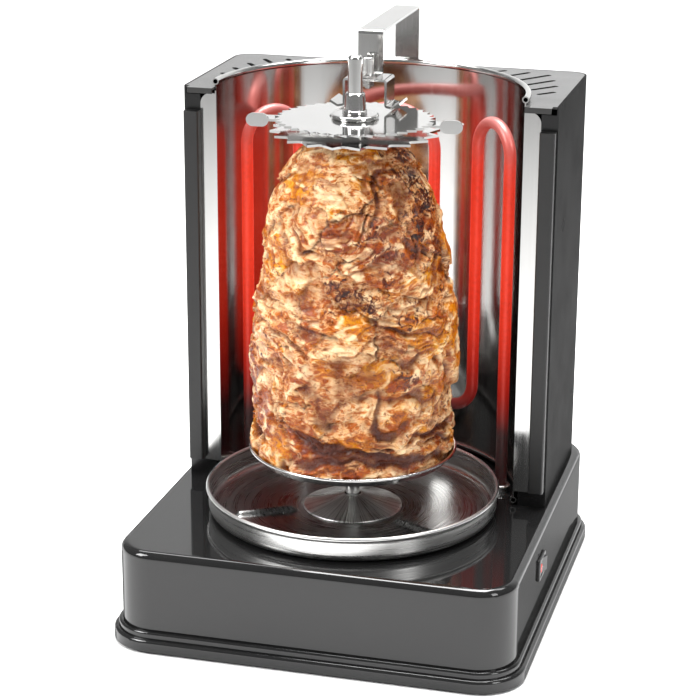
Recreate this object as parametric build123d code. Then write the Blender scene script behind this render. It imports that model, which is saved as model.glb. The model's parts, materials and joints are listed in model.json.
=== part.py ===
from build123d import *
import math
import os

os.makedirs("parts", exist_ok=True)

# Upright rotisserie oven. Millimetres, +Z up, front toward -Y, rest on z = 0.

# ---- base
BASE_WIDTH = 260.0
BASE_DEPTH = 280.0
BASE_TOP = 67.5
BASE_CORNER = 25.0
BASE_EDGE_ROUND = 5.0
BASE_WALL = 2.5
BASE_BOTTOM = 3.0
SKIRT_REACH = 6.0
SKIRT_LOW = 1.5
SKIRT_STEP = 9.5
SKIRT_TOP = 14.0
SKIRT_UPPER_REACH = 3.0
FLOOR_TOP = 6.0
FLOOR_SHEET = 1.5
FOOT_INSET = 30.0
FOOT_RADIUS = 10.0
BOSS_RADIUS = 5.0

# ---- turning axis and everything threaded on it
AXIS_Y = -28.0
SHAFT_RADIUS = 4.8
ROD_RADIUS = 4.75
ROD_TOP = 371.5
PLATE_FLOOR = 108.0
PLATE_RADIUS = 67.4
PLATE_RISE = 4.2
LOWER_DISC_TOP = 324.0
UPPER_DISC_TOP = 331.5
DISC_SHEET = 1.5
UPPER_TIP, UPPER_ROOT, UPPER_TEETH = 51.0, 47.4, 40
LOWER_TIP, LOWER_ROOT, LOWER_TEETH = 54.0, 47.5, 20
BAR_WIDTH, BAR_TURN = 13.0, 6.0
EAR_TALL, EAR_LENGTH, EAR_GAP = 8.5, 14.5, 0.5
BAR_REACH = LOWER_TIP + EAR_LENGTH + EAR_GAP
WASHER_RADIUS, WASHER_THICK = 15.0, 3.0
COLLAR_FOOT, COLLAR_NECK, COLLAR_HEIGHT = 7.6, 6.1, 13.5

# ---- drip pan
PAN_RADIUS = 96.0
PAN_SHEET = 0.8
PAN_BEAD = 1.4
PAN_RIM = 83.8
PAN_RIB_ANGLES = (90.0, 210.0, 330.0)
CONE_RADIUS, CONE_RISE, CONE_HOLE = 33.0, 9.0, 7.0

# ---- tower
TOWER_HALF = 124.5
TOWER_FRONT = 3.0
TOWER_REAR = 122.0
TOWER_TOP = 339.5
TOWER_CORNER = 12.0
TOWER_SHEET = 1.2
PLATE_SHEET = 1.5
PLATE_OVERHANG = 6.0
TRIM_OUTER, TRIM_WIDTH = 123.5, 10.0
TRIM_FRONT = -3.5
TRIM_LOW, TRIM_HIGH = 79.5, 323.5

# ---- mirror reflector
MIRROR_RADIUS = 102.5
MIRROR_Y = 3.0
MIRROR_SHEET = 0.8
MIRROR_LOW, MIRROR_HIGH = 71.2, 343.0
HEM_RADIUS, HEM_WALL = 2.2, 0.7
FLANGE_LOW, FLANGE_HIGH, FLANGE_ROUND = 77.5, 335.0, 7.0

# ---- heater
HEATER_ARC = 105.5
HEATER_TUBE = 4.0
HEATER_ANGLES = (58.0, 36.0, 16.0)
HEATER_HIGH, HEATER_LOW = 318.0, 113.0
HEATER_END = 50.0
FERRULE_RADIUS, FERRULE_TALL = 6.4, 4.5

# ---- upper support arm
STRAP_WIDTH, STRAP_SHEET, STRAP_BEND = 16.5, 1.6, 3.0
ARM_TOP = 381.0
ARM_FRONT, ARM_REAR = 9.5, 111.0
ARM_END = 258.0
YOKE_TOP, YOKE_SHEET = 352.0, 1.5
YOKE_HALF, YOKE_FRONT, YOKE_BACK = 14.5, -5.0, 16.0
YOKE_FOOT_GAP = 1.6
BOLT_Y, BOLT_RADIUS = 3.0, 2.0

# ---- rocker switch on the right wall
SWITCH_Y, SWITCH_Z = -38.0, 44.0
SWITCH_LONG, SWITCH_TALL = 21.0, 15.0
KEY_LONG, KEY_TALL = 14.8, 10.0
KEY_TILT = 8.0
PIVOT_OUT = -0.5

# ---- fits
RUNNING_GAP = 0.05
SLIP_GAP = 0.1
FREE_GAP = 0.4


def save(shape, node):
    export_step(shape, "parts/" + node + ".step")


def slab(width, depth, low, high, corner, y=0.0):
    outline = RectangleRounded(width, depth, corner)
    return extrude(Pos(0, y, low) * outline, high - low)


def block(x0, x1, y0, y1, z0, z1):
    middle = Pos((x0 + x1) / 2, (y0 + y1) / 2, (z0 + z1) / 2)
    return middle * Box(x1 - x0, y1 - y0, z1 - z0)


def rod(radius, low, high, x=0.0, y=AXIS_Y):
    return Pos(x, y, (low + high) / 2) * Cylinder(radius, high - low)


def tube(outer, inner, low, high, x=0.0, y=AXIS_Y):
    return rod(outer, low, high, x, y) - rod(inner, low - 1, high + 1, x, y)


def turned(points, y=AXIS_Y):
    profile = make_face(Polyline(points + points[:1]))
    return Pos(0, y, 0) * revolve(Plane.XZ * profile, Axis.Z)


def both_sides(shape):
    return shape, mirror(shape, Plane.YZ)


def group(parts):
    return Compound(children=list(parts))


def screw(x, y, head_end, seat, tip, head_radius=3.0, shank=1.4):
    head = rod(head_radius, *sorted((head_end, seat)), x, y)
    return head + rod(shank, *sorted((seat, tip)), x, y)


# ---------------------------------------------------------------- base shell
half_w, half_d = BASE_WIDTH / 2, BASE_DEPTH / 2
inner_w, inner_d = BASE_WIDTH - 2 * BASE_WALL, BASE_DEPTH - 2 * BASE_WALL
ceiling = BASE_TOP - BASE_WALL
foot_spots = [(sx * (half_w - FOOT_INSET), sy * (half_d - FOOT_INSET))
              for sx in (-1, 1) for sy in (-1, 1)]
mount_spots = [(sx * 36.0, AXIS_Y + sy * 22.0) for sx in (-1, 1) for sy in (-1, 1)]
heater_spots = [(s * HEATER_ARC * math.sin(math.radians(HEATER_ANGLES[0])),
                 AXIS_Y + HEATER_ARC * math.cos(math.radians(HEATER_ANGLES[0])))
                for s in (-1, 1)]
tower_spots = [(s * 117.0, y) for s in (-1, 1) for y in (30.0, 92.0)]
MOTOR_PLATE_TOP = 49.0
MOTOR_PLATE_SHEET = 2.0
SCREW_HOLE = 1.5
GLAND_X, GLAND_Z = 70.0, 30.0
GLAND_RADIUS, CORD_HOLE = 8.0, 3.6
BUSH_RADIUS = 9.0

base = slab(BASE_WIDTH, BASE_DEPTH, BASE_BOTTOM, BASE_TOP, BASE_CORNER)
base = fillet(base.edges().group_by(Axis.Z)[-1], BASE_EDGE_ROUND)
base -= slab(inner_w, inner_d, BASE_BOTTOM - 1, ceiling, BASE_CORNER - BASE_WALL)
for x, y in foot_spots:
    base += rod(BOSS_RADIUS, FLOOR_TOP, ceiling + 1, x, y)
    base -= rod(SCREW_HOLE, FLOOR_TOP - 1, FLOOR_TOP + 14, x, y)
for x, y in mount_spots:
    base += rod(BOSS_RADIUS, MOTOR_PLATE_TOP, ceiling + 1, x, y)
    base -= rod(SCREW_HOLE, MOTOR_PLATE_TOP - 1, MOTOR_PLATE_TOP + 10, x, y)
for x, y in tower_spots:
    base += rod(4.0, ceiling - 8, ceiling + 1, x, y)
    base -= rod(SCREW_HOLE, ceiling - 7, BASE_TOP + 1, x, y)
for x, y in heater_spots:
    base -= rod(HEATER_TUBE + FREE_GAP, ceiling - 1, BASE_TOP + 1, x, y)
base -= rod(BUSH_RADIUS + SLIP_GAP, ceiling - 1, BASE_TOP + 1)
base -= block(half_w - BASE_WALL - 1, half_w + 1,
              SWITCH_Y - SWITCH_LONG / 2 + 1, SWITCH_Y + SWITCH_LONG / 2 - 1,
              SWITCH_Z - SWITCH_TALL / 2 + 1, SWITCH_Z + SWITCH_TALL / 2 - 1)
base -= Pos(GLAND_X, half_d, GLAND_Z) * Rot(90, 0, 0) * Cylinder(GLAND_RADIUS - 2, 12)
save(base, "base_housing")

skirt = slab(BASE_WIDTH + 2 * SKIRT_REACH, BASE_DEPTH + 2 * SKIRT_REACH, SKIRT_LOW,
             SKIRT_STEP, BASE_CORNER + SKIRT_REACH)
skirt = fillet(skirt.edges().group_by(Axis.Z)[-1], 2.6)
collar = slab(BASE_WIDTH + 2 * SKIRT_UPPER_REACH, BASE_DEPTH + 2 * SKIRT_UPPER_REACH,
              SKIRT_STEP - 1, SKIRT_TOP, BASE_CORNER + SKIRT_UPPER_REACH)
skirt += fillet(collar.edges().group_by(Axis.Z)[-1], 2.0)
skirt -= slab(BASE_WIDTH + 2 * SLIP_GAP, BASE_DEPTH + 2 * SLIP_GAP, 0, SKIRT_TOP + 1,
              BASE_CORNER + SLIP_GAP)
save(skirt, "base_skirt")

floor = slab(inner_w - 0.6, inner_d - 0.6, FLOOR_TOP - FLOOR_SHEET, FLOOR_TOP,
             BASE_CORNER - BASE_WALL - 0.3)
for x, y in foot_spots:
    floor -= rod(SCREW_HOLE + 0.2, 0, 10, x, y)
for i in range(-5, 6):
    floor -= Pos(i * 9.0, 60.0, FLOOR_TOP) * extrude(SlotOverall(30, 3.5, 90), 5, both=True)
save(floor, "bottom_plate")

feet, foot_screws = [], []
for x, y in foot_spots:
    foot = rod(FOOT_RADIUS, 0, FLOOR_TOP - FLOOR_SHEET, x, y)
    foot = fillet(foot.edges().group_by(Axis.Z)[0], 1.2)
    foot -= rod(3.6, -1, 2.4, x, y) + rod(SCREW_HOLE + 0.2, 0, 10, x, y)
    feet.append(foot)
    foot_screws.append(screw(x, y, 0.8, 2.4, FLOOR_TOP + 12))
save(group(feet), "rubber_feet")
save(group(foot_screws), "foot_screws")

# ---------------------------------------------------------------- drive in the base
CAN_RADIUS, CAN_TALL = 25.0, 21.0
EAR_SPAN = 30.0
plate_low = MOTOR_PLATE_TOP - MOTOR_PLATE_SHEET
can_top = plate_low
motor = rod(CAN_RADIUS, can_top - CAN_TALL, can_top)
motor = fillet(motor.edges().group_by(Axis.Z)[0], 2.0)
for s in (-1, 1):
    motor += rod(5.0, can_top - 1.2, can_top, s * EAR_SPAN)
    motor += block(min(0, s * EAR_SPAN), max(0, s * EAR_SPAN), AXIS_Y - 5, AXIS_Y + 5,
                   can_top - 1.2, can_top)
for s in (-1, 1):
    motor -= rod(SCREW_HOLE, can_top - 3, can_top + 1, s * EAR_SPAN)
motor -= rod(4.0, can_top - 8, can_top + 1)
save(motor, "gear_motor")

carrier = Pos(0, AXIS_Y, plate_low) * extrude(RectangleRounded(84, 56, 5), MOTOR_PLATE_SHEET)
carrier -= rod(7.0, plate_low - 1, MOTOR_PLATE_TOP + 1)
for x, y in mount_spots:
    carrier -= rod(SCREW_HOLE + 0.1, plate_low - 1, MOTOR_PLATE_TOP + 1, x, y)
for s in (-1, 1):
    carrier -= rod(SCREW_HOLE - 0.1, plate_low - 1, MOTOR_PLATE_TOP + 1, s * EAR_SPAN)
save(carrier, "motor_plate")
save(group(screw(x, y, plate_low - 2, plate_low, MOTOR_PLATE_TOP + 8)
           for x, y in mount_spots), "plate_screws")
save(group(screw(s * EAR_SPAN, AXIS_Y, can_top - 3.2, can_top - 1.2, MOTOR_PLATE_TOP + 3,
                 2.8, 1.3) for s in (-1, 1)), "motor_screws")

motor_shaft = rod(3.5, can_top - 7, 57.0)
motor_shaft -= block(-4, 4, AXIS_Y + 2.8, AXIS_Y + 5, can_top + 3, 58)
save(motor_shaft, "motor_shaft")

COUPLING_LOW, COUPLING_HIGH = 51.0, 61.5
coupling = rod(8.0, COUPLING_LOW, COUPLING_HIGH) - rod(SHAFT_RADIUS, 57.0, COUPLING_HIGH + 1)
coupling -= rod(3.5, COUPLING_LOW - 1, 57.5) - block(-4, 4, AXIS_Y + 2.8, AXIS_Y + 5, 50, 57.5)
save(coupling, "drive_coupling")

bush = tube(BUSH_RADIUS, SHAFT_RADIUS + RUNNING_GAP, 62.5, BASE_TOP + 2)
bush += tube(12.0, SHAFT_RADIUS + RUNNING_GAP, BASE_TOP, BASE_TOP + 2)
save(bush, "bearing_bush")

hub_low = PLATE_FLOOR - 10
drive_shaft = rod(SHAFT_RADIUS, 57.0, hub_low + 4)
save(drive_shaft, "drive_shaft")

# ---------------------------------------------------------------- spit
hub = rod(9.0, hub_low, PLATE_FLOOR - 1) - rod(SHAFT_RADIUS, hub_low - 1, hub_low + 4)
hub -= rod(ROD_RADIUS, hub_low + 3, PLATE_FLOOR)
hub = chamfer(hub.edges().filter_by(GeomType.CIRCLE).group_by(Axis.Z)[0][-1:], 1.2)
save(hub, "plate_hub")

rim_in = PLATE_RADIUS - 0.5
dish = turned([(ROD_RADIUS + 0.05, PLATE_FLOOR - 1), (rim_in - 3, PLATE_FLOOR - 1),
               (PLATE_RADIUS, PLATE_FLOOR + PLATE_RISE - 1), (rim_in, PLATE_FLOOR + PLATE_RISE),
               (rim_in - 3.4, PLATE_FLOOR), (ROD_RADIUS + 0.05, PLATE_FLOOR)])
dish += Pos(0, AXIS_Y, PLATE_FLOOR + PLATE_RISE) * Torus(PLATE_RADIUS + 0.1, 1.1)
save(dish, "lower_plate")

spit_rod = rod(ROD_RADIUS, hub_low + 4, ROD_TOP)
spit_rod = fillet(spit_rod.edges().group_by(Axis.Z)[-1], 2.2)
save(spit_rod, "spit_rod")

MEAT = ((63.0, 0.0), (64.4, 3.5), (65.6, 7.5), (65.4, 16.0), (64.8, 44.0), (66.4, 76.0), (65.2, 97.0),
        (60.5, 118.0), (58.4, 138.0), (55.6, 155.0), (51.0, 173.0), (43.5, 188.0),
        (33.0, 202.0), (24.0, 212.0))
meat_low = PLATE_FLOOR + 0.1
meat_top = LOWER_DISC_TOP - DISC_SHEET - 0.1
meat_side = Spline(*[(r, meat_low + h) for r, h in MEAT])
meat_edge = [(20.0, meat_top), (ROD_RADIUS + SLIP_GAP, meat_top),
             (ROD_RADIUS + SLIP_GAP, meat_low), (MEAT[0][0], meat_low)]
profile = make_face(Wire([meat_side, *Polyline((MEAT[-1][0], meat_low + MEAT[-1][1]),
                                                *meat_edge).edges()]))
save(Pos(0, AXIS_Y, 0) * revolve(Plane.XZ * profile, Axis.Z), "meat_load")


def saw_disc(tip, root, teeth, low):
    corners = []
    for i in range(teeth):
        for radius, turn in ((tip, i), (root, i + 0.28), (root, i + 0.42)):
            a = 2 * math.pi * turn / teeth + math.pi
            corners.append((radius * math.cos(a), radius * math.sin(a)))
    blank = make_face(Polyline(corners + corners[:1]))
    plate = extrude(Pos(0, AXIS_Y, low) * blank, DISC_SHEET)
    return plate - rod(ROD_RADIUS + 0.05, low - 1, low + DISC_SHEET + 1)


save(saw_disc(LOWER_TIP, LOWER_ROOT, LOWER_TEETH, LOWER_DISC_TOP - DISC_SHEET), "lower_disc")
save(saw_disc(UPPER_TIP, UPPER_ROOT, UPPER_TEETH, UPPER_DISC_TOP - DISC_SHEET), "upper_disc")

bar_top = UPPER_DISC_TOP - DISC_SHEET
bar_low = bar_top - DISC_SHEET
save(tube(9.0, ROD_RADIUS + 0.05, LOWER_DISC_TOP, bar_low), "disc_spacer")

bar = Pos(0, AXIS_Y, bar_low) * extrude(SlotOverall(2 * BAR_REACH, BAR_WIDTH), DISC_SHEET)
bar -= rod(ROD_RADIUS + 0.05, bar_low - 1, bar_top + 1)
ear_face = AXIS_Y - BAR_WIDTH / 2
for s in (-1, 1):
    ear = Pos(s * (BAR_REACH - EAR_LENGTH / 2), 0, (bar_low + bar_top) / 2)
    ear = ear * Rot(90, 0, 0) * extrude(SlotOverall(EAR_LENGTH, EAR_TALL), DISC_SHEET / 2, both=True)
    bar += Pos(0, ear_face + DISC_SHEET / 2, 0) * ear
bar += block(-(BAR_REACH - 6), -(BAR_REACH - 16), ear_face, AXIS_Y, bar_low, bar_top)
bar += block(BAR_REACH - 16, BAR_REACH - 6, ear_face, AXIS_Y, bar_low, bar_top)
turn_bar = Pos(0, AXIS_Y, 0) * Rot(0, 0, BAR_TURN) * Pos(0, -AXIS_Y, 0)
save(turn_bar * bar, "holder_bar")

washer_top = UPPER_DISC_TOP + WASHER_THICK
washer = tube(WASHER_RADIUS, ROD_RADIUS + 0.05, UPPER_DISC_TOP, washer_top)
washer = fillet(washer.edges().filter_by(GeomType.CIRCLE).sort_by(SortBy.RADIUS)[-2:], 1.2)
save(washer, "clamp_washer")

nut = turned([(ROD_RADIUS + 0.05, washer_top), (COLLAR_FOOT, washer_top),
              (COLLAR_FOOT, washer_top + 2.0), (COLLAR_NECK, washer_top + COLLAR_HEIGHT - 1.0),
              (COLLAR_NECK - 0.8, washer_top + COLLAR_HEIGHT),
              (ROD_RADIUS + 0.05, washer_top + COLLAR_HEIGHT)])
save(nut, "clamp_collar")

# ---------------------------------------------------------------- drip pan
pan_low = BASE_TOP + 0.3
pan_in = PAN_RADIUS - PAN_SHEET
pan_hole = CONE_RADIUS - 5
pan = turned([(pan_hole, pan_low), (PAN_RADIUS - 3, pan_low), (PAN_RADIUS - 0.8, pan_low + 1),
              (PAN_RADIUS, pan_low + 3.4), (PAN_RADIUS, PAN_RIM), (pan_in, PAN_RIM),
              (pan_in, pan_low + 3.6), (pan_in - 0.8, pan_low + 1.6),
              (pan_in - 2.6, pan_low + PAN_SHEET), (pan_hole, pan_low + PAN_SHEET)])
pan += Pos(0, AXIS_Y, PAN_RIM) * Torus(PAN_RADIUS + 0.2, PAN_BEAD)
for angle in PAN_RIB_ANGLES:
    reach = Pos(0, AXIS_Y, pan_low) * Rot(0, 0, angle) * Pos(60, 0, 0)
    rib = extrude(SlotOverall(42, 7.5), 3.0)
    pan += reach * fillet(rib.edges().group_by(Axis.Z)[-1], 1.4)
    pan -= reach * Pos(0, 0, -0.5) * extrude(SlotOverall(39, 4.5), 2.4)
save(pan, "drip_pan")

cone_low = pan_low + PAN_SHEET
cone = turned([(pan_hole - 1, cone_low), (CONE_RADIUS, cone_low), (CONE_RADIUS, cone_low + 0.6),
               (CONE_HOLE + 0.6, cone_low + CONE_RISE), (CONE_HOLE, cone_low + CONE_RISE),
               (CONE_HOLE, cone_low + CONE_RISE - 0.8)])
save(cone, "pan_cone")

# ---------------------------------------------------------------- tower
tower_depth = TOWER_REAR - TOWER_FRONT
inner_half = TOWER_HALF - TOWER_SHEET


def tower_slab(half, front, rear, low, high, corner):
    shape = block(-half, half, front, rear, low, high)
    return fillet(shape.edges().filter_by(Axis.Z).group_by(Axis.Y)[-1], corner)


casing = tower_slab(TOWER_HALF, TOWER_FRONT, TOWER_REAR, BASE_TOP, TOWER_TOP, TOWER_CORNER)
casing -= tower_slab(inner_half, TOWER_FRONT - 1, TOWER_REAR - TOWER_SHEET, BASE_TOP - 1,
                     TOWER_TOP + 1, TOWER_CORNER - TOWER_SHEET)
return_back = TOWER_FRONT + MIRROR_SHEET + TOWER_SHEET
for s in (-1, 1):
    x0, x1 = sorted((s * 113.5, s * inner_half))
    front_return = block(x0, x1, TOWER_FRONT, TOWER_FRONT + TOWER_SHEET, BASE_TOP, FLANGE_HIGH - 1)
    casing += front_return
    x0, x1 = sorted((s * 105.8, s * inner_half))
    casing += block(x0, x1, TOWER_FRONT, TOWER_FRONT + TOWER_SHEET, BASE_TOP, FLANGE_LOW - 0.5)
    x0, x1 = sorted((s * 110.5, s * inner_half))
    casing += block(x0, x1, 20, 104, BASE_TOP, BASE_TOP + TOWER_SHEET)
for x, y in tower_spots:
    casing -= rod(SCREW_HOLE + 0.2, BASE_TOP - 1, BASE_TOP + 5, x, y)
save(casing, "tower_casing")
save(group(screw(x, y, BASE_TOP + TOWER_SHEET + 2, BASE_TOP + TOWER_SHEET, ceiling - 6)
           for x, y in tower_spots), "tower_screws")

plate_half = inner_half - SLIP_GAP
lid_low = TOWER_TOP - PLATE_SHEET
lid_front = TOWER_FRONT - PLATE_OVERHANG
lid = tower_slab(plate_half, TOWER_FRONT + 0.1, TOWER_REAR - TOWER_SHEET - SLIP_GAP, lid_low,
                 TOWER_TOP, TOWER_CORNER - TOWER_SHEET)
mirror_out = MIRROR_RADIUS + MIRROR_SHEET
opening = mirror_out + 0.3
for s in (-1, 1):
    x0, x1 = sorted((s * opening, s * (plate_half - 2.5)))
    lid += block(x0, x1, lid_front, TOWER_FRONT + 1, lid_low, TOWER_TOP)
    lid += block(x0, x1, lid_front, lid_front + 1.2, lid_low - 2.2, TOWER_TOP)
lid -= rod(opening, lid_low - 1, TOWER_TOP + 1, 0, MIRROR_Y)
lid -= block(-opening, opening, lid_front - 1, MIRROR_Y, lid_low - 5, TOWER_TOP + 1)
lid -= block(-10, 10, 104, ARM_REAR + 1.2, lid_low - 1, TOWER_TOP + 1)
SLOTS = (((61.5, 104.5), (69.5, 112.5)), ((72.5, 91.5), (86.0, 110.0)),
         ((82.0, 79.0), (101.0, 105.0)), ((90.0, 65.0), (107.0, 87.5)),
         ((97.0, 51.0), (112.0, 69.5)), ((104.0, 38.0), (114.0, 49.5)))
for (x0, y0), (x1, y1) in SLOTS:
    length = math.hypot(x1 - x0, y1 - y0)
    angle = math.degrees(math.atan2(y1 - y0, x1 - x0))
    slot = Pos((x0 + x1) / 2, (y0 + y1) / 2, lid_low - 1) * Rot(0, 0, angle) * extrude(
        SlotOverall(length, 3.6), PLATE_SHEET + 2)
    for cutter in both_sides(slot):
        lid -= cutter
save(lid, "tower_top_plate")

for side, name in ((-1, "trim_left"), (1, "trim_right")):
    x0, x1 = sorted((side * (TRIM_OUTER - TRIM_WIDTH), side * TRIM_OUTER))
    trim = block(x0, x1, TRIM_FRONT, TOWER_FRONT - 0.05, TRIM_LOW, TRIM_HIGH)
    trim = fillet(trim.edges().filter_by(Axis.Z).group_by(Axis.Y)[0], 1.2)
    trim -= block(x0 + 1, x1 - 1, TRIM_FRONT + 1, TOWER_FRONT + 1, TRIM_LOW - 1, TRIM_HIGH - 1)
    save(trim, name)

# ---------------------------------------------------------------- mirror reflector
sheet_mid = MIRROR_RADIUS + MIRROR_SHEET / 2
wall = Pos(sheet_mid, (MIRROR_LOW + MIRROR_HIGH) / 2) * Rectangle(
    MIRROR_SHEET, MIRROR_HIGH - MIRROR_LOW)
for level in (MIRROR_LOW, MIRROR_HIGH):
    wall += Pos(sheet_mid, level) * Circle(HEM_RADIUS)
for level in (MIRROR_LOW, MIRROR_HIGH):
    wall -= Pos(sheet_mid, level) * Circle(HEM_RADIUS - HEM_WALL)
shell = Pos(0, MIRROR_Y, 0) * revolve(Plane.XZ * wall, Axis.Z, revolution_arc=180)
for s in (-1, 1):
    x0, x1 = sorted((s * MIRROR_RADIUS, s * (TRIM_OUTER - TRIM_WIDTH - 0.1)))
    wing = block(x0, x1, MIRROR_Y, MIRROR_Y + MIRROR_SHEET, FLANGE_LOW, FLANGE_HIGH)
    outer = wing.edges().filter_by(Axis.Y).group_by(Axis.Z)[-1].sort_by(Axis.X)
    shell += fillet(outer[-1] if s > 0 else outer[0], FLANGE_ROUND)
save(shell, "reflector")

# ---------------------------------------------------------------- heater
legs = []
for sign, angles in ((1, HEATER_ANGLES), (-1, HEATER_ANGLES[::-1])):
    for a in angles:
        legs.append(Vector(sign * HEATER_ARC * math.sin(math.radians(a)),
                           AXIS_Y + HEATER_ARC * math.cos(math.radians(a)), 0))
run = []
level = HEATER_END
for i, (near, far) in enumerate(zip(legs, legs[1:])):
    bend = (far - near).length / 2
    up = i % 2 == 0
    turn = (HEATER_HIGH - bend) if up else (HEATER_LOW + bend)
    run.append(Line(near + Vector(0, 0, level), near + Vector(0, 0, turn)))
    crest = (near + far) * 0.5 + Vector(0, 0, turn + (bend if up else -bend))
    run.append(ThreePointArc(near + Vector(0, 0, turn), crest, far + Vector(0, 0, turn)))
    level = turn
run.append(Line(legs[-1] + Vector(0, 0, level), legs[-1] + Vector(0, 0, HEATER_END)))
path = Wire(run)
start = Plane(origin=path @ 0, z_dir=path % 0)
save(sweep(start * Circle(HEATER_TUBE), path=path), "heater_tube")

ferrules, bushes, pins = [], [], []
for x, y in heater_spots:
    ring = tube(FERRULE_RADIUS, HEATER_TUBE + SLIP_GAP, BASE_TOP, BASE_TOP + FERRULE_TALL, x, y)
    edge = ring.edges().filter_by(GeomType.CIRCLE).group_by(Axis.Z)[-1].sort_by(SortBy.RADIUS)
    ferrules.append(fillet(edge[-1], 1.2))
    bushes.append(tube(8.5, HEATER_TUBE + SLIP_GAP, HEATER_END + 2, ceiling, x, y))
    pins.append(rod(1.5, HEATER_END - 9, HEATER_END, x, y))
save(group(ferrules), "heater_ferrules")
save(group(bushes), "ceramic_bushes")
save(group(pins), "heater_pins")

# ---------------------------------------------------------------- upper support arm
foot_high = YOKE_TOP + STRAP_SHEET
spine = FilletPolyline((YOKE_FRONT + 1.5, foot_high - STRAP_SHEET / 2),
                       (ARM_FRONT + STRAP_SHEET / 2, foot_high - STRAP_SHEET / 2),
                       (ARM_FRONT + STRAP_SHEET / 2, ARM_TOP - STRAP_SHEET / 2),
                       (ARM_REAR - STRAP_SHEET / 2, ARM_TOP - STRAP_SHEET / 2),
                       (ARM_REAR - STRAP_SHEET / 2, ARM_END), radius=1.8)
spine = Plane.YZ * spine
section = Plane(origin=spine @ 0, z_dir=spine % 0, x_dir=(1, 0, 0))
strap = sweep(section * Rectangle(STRAP_WIDTH, STRAP_SHEET), path=spine)
strap -= rod(BOLT_RADIUS + SLIP_GAP, YOKE_TOP - 1, foot_high + 1, 0, BOLT_Y)
save(strap, "arm_strap")

foot_drop = YOKE_TOP - (UPPER_DISC_TOP + YOKE_FOOT_GAP)
yoke_line = FilletPolyline((-YOKE_HALF - 8.5, -foot_drop + 3.6), (-YOKE_HALF - 3.5, -foot_drop + 0.75),
                           (-YOKE_HALF + 0.75, -foot_drop + 1.6), (-YOKE_HALF + 0.75, -0.75),
                           (YOKE_HALF - 0.75, -0.75), (YOKE_HALF - 0.75, -foot_drop + 1.6),
                           (YOKE_HALF + 3.5, -foot_drop + 0.75), (YOKE_HALF + 8.5, -foot_drop + 3.6),
                           radius=1.3)
yoke_edge = trace(yoke_line, YOKE_SHEET)
yoke_depth = YOKE_BACK - YOKE_FRONT
yoke = Pos(0, YOKE_BACK, YOKE_TOP) * extrude(Plane.XZ * yoke_edge, yoke_depth)
yoke -= rod(BOLT_RADIUS + SLIP_GAP, YOKE_TOP - 5, YOKE_TOP + 1, 0, BOLT_Y)
save(yoke, "hold_down_yoke")

nut_low = YOKE_TOP - YOKE_SHEET - 4.4
lock = extrude(Pos(0, BOLT_Y, nut_low) * RegularPolygon(3.6, 6, major_radius=False), 4.4)
save(lock - rod(BOLT_RADIUS, nut_low - 1, YOKE_TOP, 0, BOLT_Y), "yoke_nut")
save(rod(BOLT_RADIUS, nut_low - 1.5, foot_high + 9, 0, BOLT_Y), "yoke_bolt")
knob = rod(4.6, foot_high, foot_high + 2, 0, BOLT_Y) + rod(3.9, foot_high, foot_high + 11.4, 0, BOLT_Y)
knob = fillet(knob.edges().group_by(Axis.Z)[-1], 1.2)
for i in range(12):
    a = math.radians(30 * i)
    knob -= rod(0.45, foot_high + 2, foot_high + 12, 3.95 * math.cos(a),
                BOLT_Y + 3.95 * math.sin(a))
save(knob - rod(BOLT_RADIUS, foot_high - 1, foot_high + 9, 0, BOLT_Y), "knurled_nut")

SOCKET_LOW, SOCKET_HIGH = 252.0, 300.0
slot_half = STRAP_WIDTH / 2 + 0.2
socket = block(-12, 12, ARM_REAR - STRAP_SHEET - 1.5, TOWER_REAR - TOWER_SHEET, SOCKET_LOW,
               SOCKET_HIGH)
socket -= block(-slot_half, slot_half, ARM_REAR - STRAP_SHEET - 0.2, ARM_REAR + 0.2,
                SOCKET_LOW + 3, SOCKET_HIGH + 1)
save(socket, "arm_socket")

# ---------------------------------------------------------------- rocker switch
wall_face = half_w
bezel_face = wall_face + 1.5
pocket_long, pocket_tall = KEY_LONG + 1.8, KEY_TALL + 0.8
switch = block(wall_face, bezel_face, SWITCH_Y - SWITCH_LONG / 2, SWITCH_Y + SWITCH_LONG / 2,
               SWITCH_Z - SWITCH_TALL / 2, SWITCH_Z + SWITCH_TALL / 2)
switch = fillet(switch.edges().filter_by(Axis.X), 1.5)
switch = chamfer(switch.faces().sort_by(Axis.X)[-1].edges(), 0.6)
switch += block(wall_face - 16, wall_face, SWITCH_Y - SWITCH_LONG / 2 + 1.1,
                SWITCH_Y + SWITCH_LONG / 2 - 1.1, SWITCH_Z - SWITCH_TALL / 2 + 1.1,
                SWITCH_Z + SWITCH_TALL / 2 - 1.1)
switch -= block(wall_face - 6, bezel_face + 1, SWITCH_Y - pocket_long / 2,
                SWITCH_Y + pocket_long / 2, SWITCH_Z - pocket_tall / 2,
                SWITCH_Z + pocket_tall / 2)
pivot_x = wall_face + PIVOT_OUT
switch -= rod(1.0 + RUNNING_GAP, SWITCH_Z - KEY_TALL / 2 - 1.2, SWITCH_Z + KEY_TALL / 2 + 1.2,
              pivot_x, SWITCH_Y)
for dy in (-5.0, 5.0):
    switch += block(wall_face - 22, wall_face - 16, SWITCH_Y + dy - 2.4, SWITCH_Y + dy + 2.4,
                    SWITCH_Z - 0.4, SWITCH_Z + 0.4)
save(switch, "switch_body")

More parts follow.
